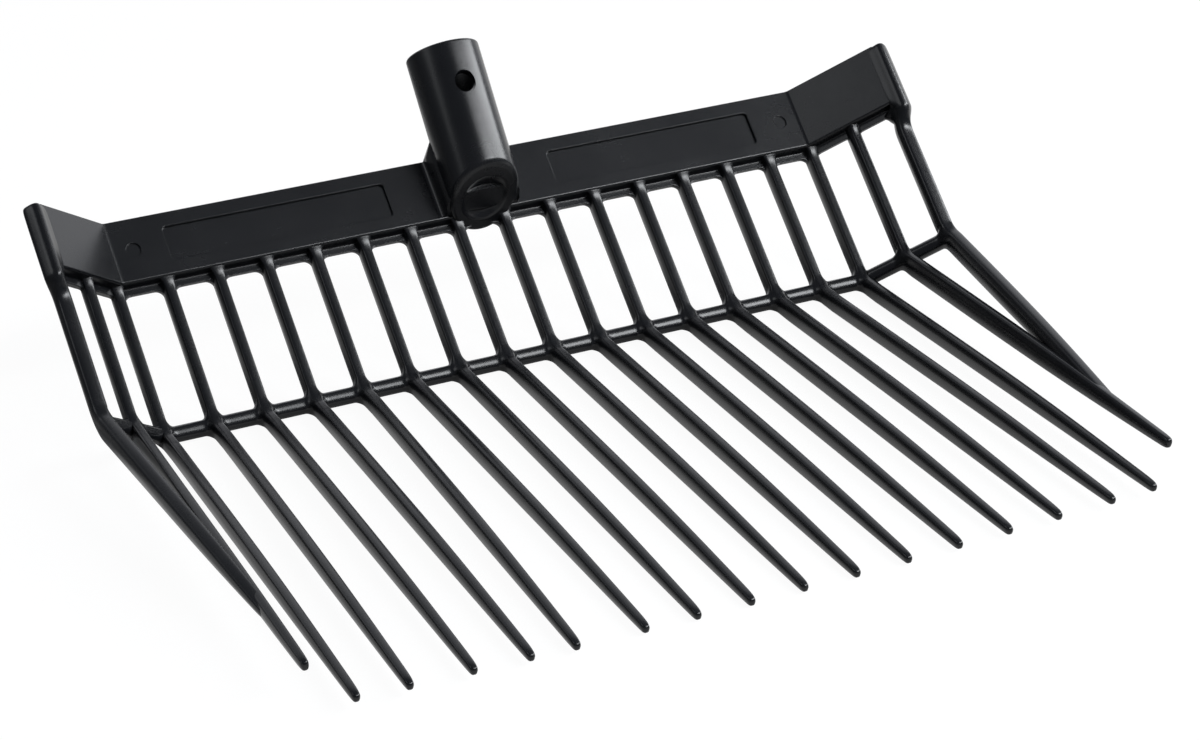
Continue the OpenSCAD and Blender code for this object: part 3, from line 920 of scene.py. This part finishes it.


# Painted reflection: the floor glows in reflections, half around the head, fully far to the right, and hardly in a
# band under the bars, which is a painted shadow of the headboard
near = times(times(fade((0, 1, 0), -0.32, -0.2), fade((1, 0, 0), -0.4, -0.25)), fade((1, -1, 0), -0.5, -0.32))
far = fade((1.5, 1, 0), 0.28, 0.62)
lit = n.new("ShaderNodeMath")
lit.operation = "MULTIPLY_ADD"
lit.inputs[1].default_value = 0.42
link(far, lit.inputs[0])
link(times(near, 0.58), lit.inputs[2])
painted_shadow_band = n.new("ShaderNodeMath")
painted_shadow_band.operation = "MULTIPLY_ADD"
painted_shadow_band.inputs[1].default_value = -0.9
painted_shadow_band.inputs[2].default_value = 1.0
link(times(fade((0, 1, 0), 0.03, 0.07), fade((0, -1, 0), -0.13, -0.095)), painted_shadow_band.inputs[0])
mirrored = n.new("ShaderNodeMath")
mirrored.operation = "MULTIPLY_ADD"
link(path.outputs["Is Glossy Ray"], mirrored.inputs[0])
link(times(lit.outputs["Value"], painted_shadow_band.outputs["Value"]), mirrored.inputs[1])
link(times(path.outputs["Is Camera Ray"], 0.9), mirrored.inputs[2])
mix = n.new("ShaderNodeMixShader")
link(mirrored.outputs["Value"], mix.inputs["Fac"])
link(matt.outputs["BSDF"], mix.inputs[1])
link(glow.outputs["Emission"], mix.inputs[2])
link(mix.outputs["Shader"], n["Material Output"].inputs["Surface"])
floor.data.materials.append(white)

world = bpy.data.worlds.new("studio")
bpy.context.scene.world = world
world.use_nodes = True
n = world.node_tree.nodes
link = world.node_tree.links.new
sky = n["Background"]
sky.inputs["Strength"].default_value = 1.0
toward = n.new("ShaderNodeTexCoord")
split = n.new("ShaderNodeSeparateXYZ")
link(toward.outputs["Generated"], split.inputs["Vector"])
behind = ramp(split.outputs["Y"], -0.1, 0.6)
low = ramp(split.outputs["Z"], 0.75, 0.45)
sideways = ramp(split.outputs["X"], -0.7, -0.1)
wall = n.new("ShaderNodeMix")
wall.data_type = "RGBA"
wall.inputs["A"].default_value = (0.13, 0.14, 0.16, 1)
wall.inputs["B"].default_value = (1.05, 1.07, 1.12, 1)
link(times(times(behind, low), sideways), wall.inputs["Factor"])
link(wall.outputs["Result"], sky.inputs["Color"])
paper = n.new("ShaderNodeBackground")
paper.inputs["Strength"].default_value = 1.0
path = n.new("ShaderNodeLightPath")
mix = n.new("ShaderNodeMixShader")
link(path.outputs["Is Camera Ray"], mix.inputs["Fac"])
link(sky.outputs["Background"], mix.inputs[1])
link(paper.outputs["Background"], mix.inputs[2])
link(mix.outputs["Shader"], n["World Output"].inputs["Surface"])


def lamp(name, place, target, along, size, power):
    """A soft box lamp that points at a target, with its long side in a direction."""
    data = bpy.data.lights.new(name, "AREA")
    data.shape = "RECTANGLE"
    data.size, data.size_y = size
    data.energy = power
    data.color = (0.95, 0.975, 1.0)
    made = bpy.data.objects.new(name, data)
    bpy.context.scene.collection.objects.link(made)
    back = (Vector(place) - Vector(target)).normalized()
    across = (Vector(along) - back * back.dot(Vector(along))).normalized()
    turn = Matrix((across, back.cross(across), back)).transposed()
    made.matrix_world = Matrix.Translation(place) @ turn.to_4x4()


lamp("key_box", (1.226, -0.45, 0.929), (0, 0.1, 0.06), (0.584, 0.724, -0.366), (2.1, 0.36), 22)
lamp("front_strip", (0.69, -0.96, 1.2), (0, 0.1, 0.06), (1, 0, 0), (0.8, 0.42), 6.3)
lamp("left_box", (-1.15, 0.26, 0.86), (0.1, 0.1, 0.08), (0, 1, 0), (0.7, 0.55), 1.55)
lamp("top_box", (0.8, -0.05, 1.45), (0.05, 0.1, 0.08), (0, 1, 0), (1.3, 1.0), 0.6)

camera_data = bpy.data.cameras.new("photo_camera")
camera_data.lens = 97.56
camera_data.sensor_width = 36
camera_data.clip_start = 0.05
camera_data.clip_end = 50
camera = bpy.data.objects.new("photo_camera", camera_data)
bpy.context.scene.collection.objects.link(camera)
ahead = Vector((0.4025, 0.7928, -0.4577)).normalized()
right = Vector((0.8927, -0.4507, 0.0044)).normalized()
above = right.cross(ahead).normalized()
right = ahead.cross(above).normalized()
turn = Matrix((right, above, -ahead)).transposed()
camera.matrix_world = Matrix.Translation(Vector((-526.0, -1043.2, 625.6)) * MM) @ turn.to_4x4()
bpy.context.scene.camera = camera
bpy.context.scene.view_settings.view_transform = "Standard"
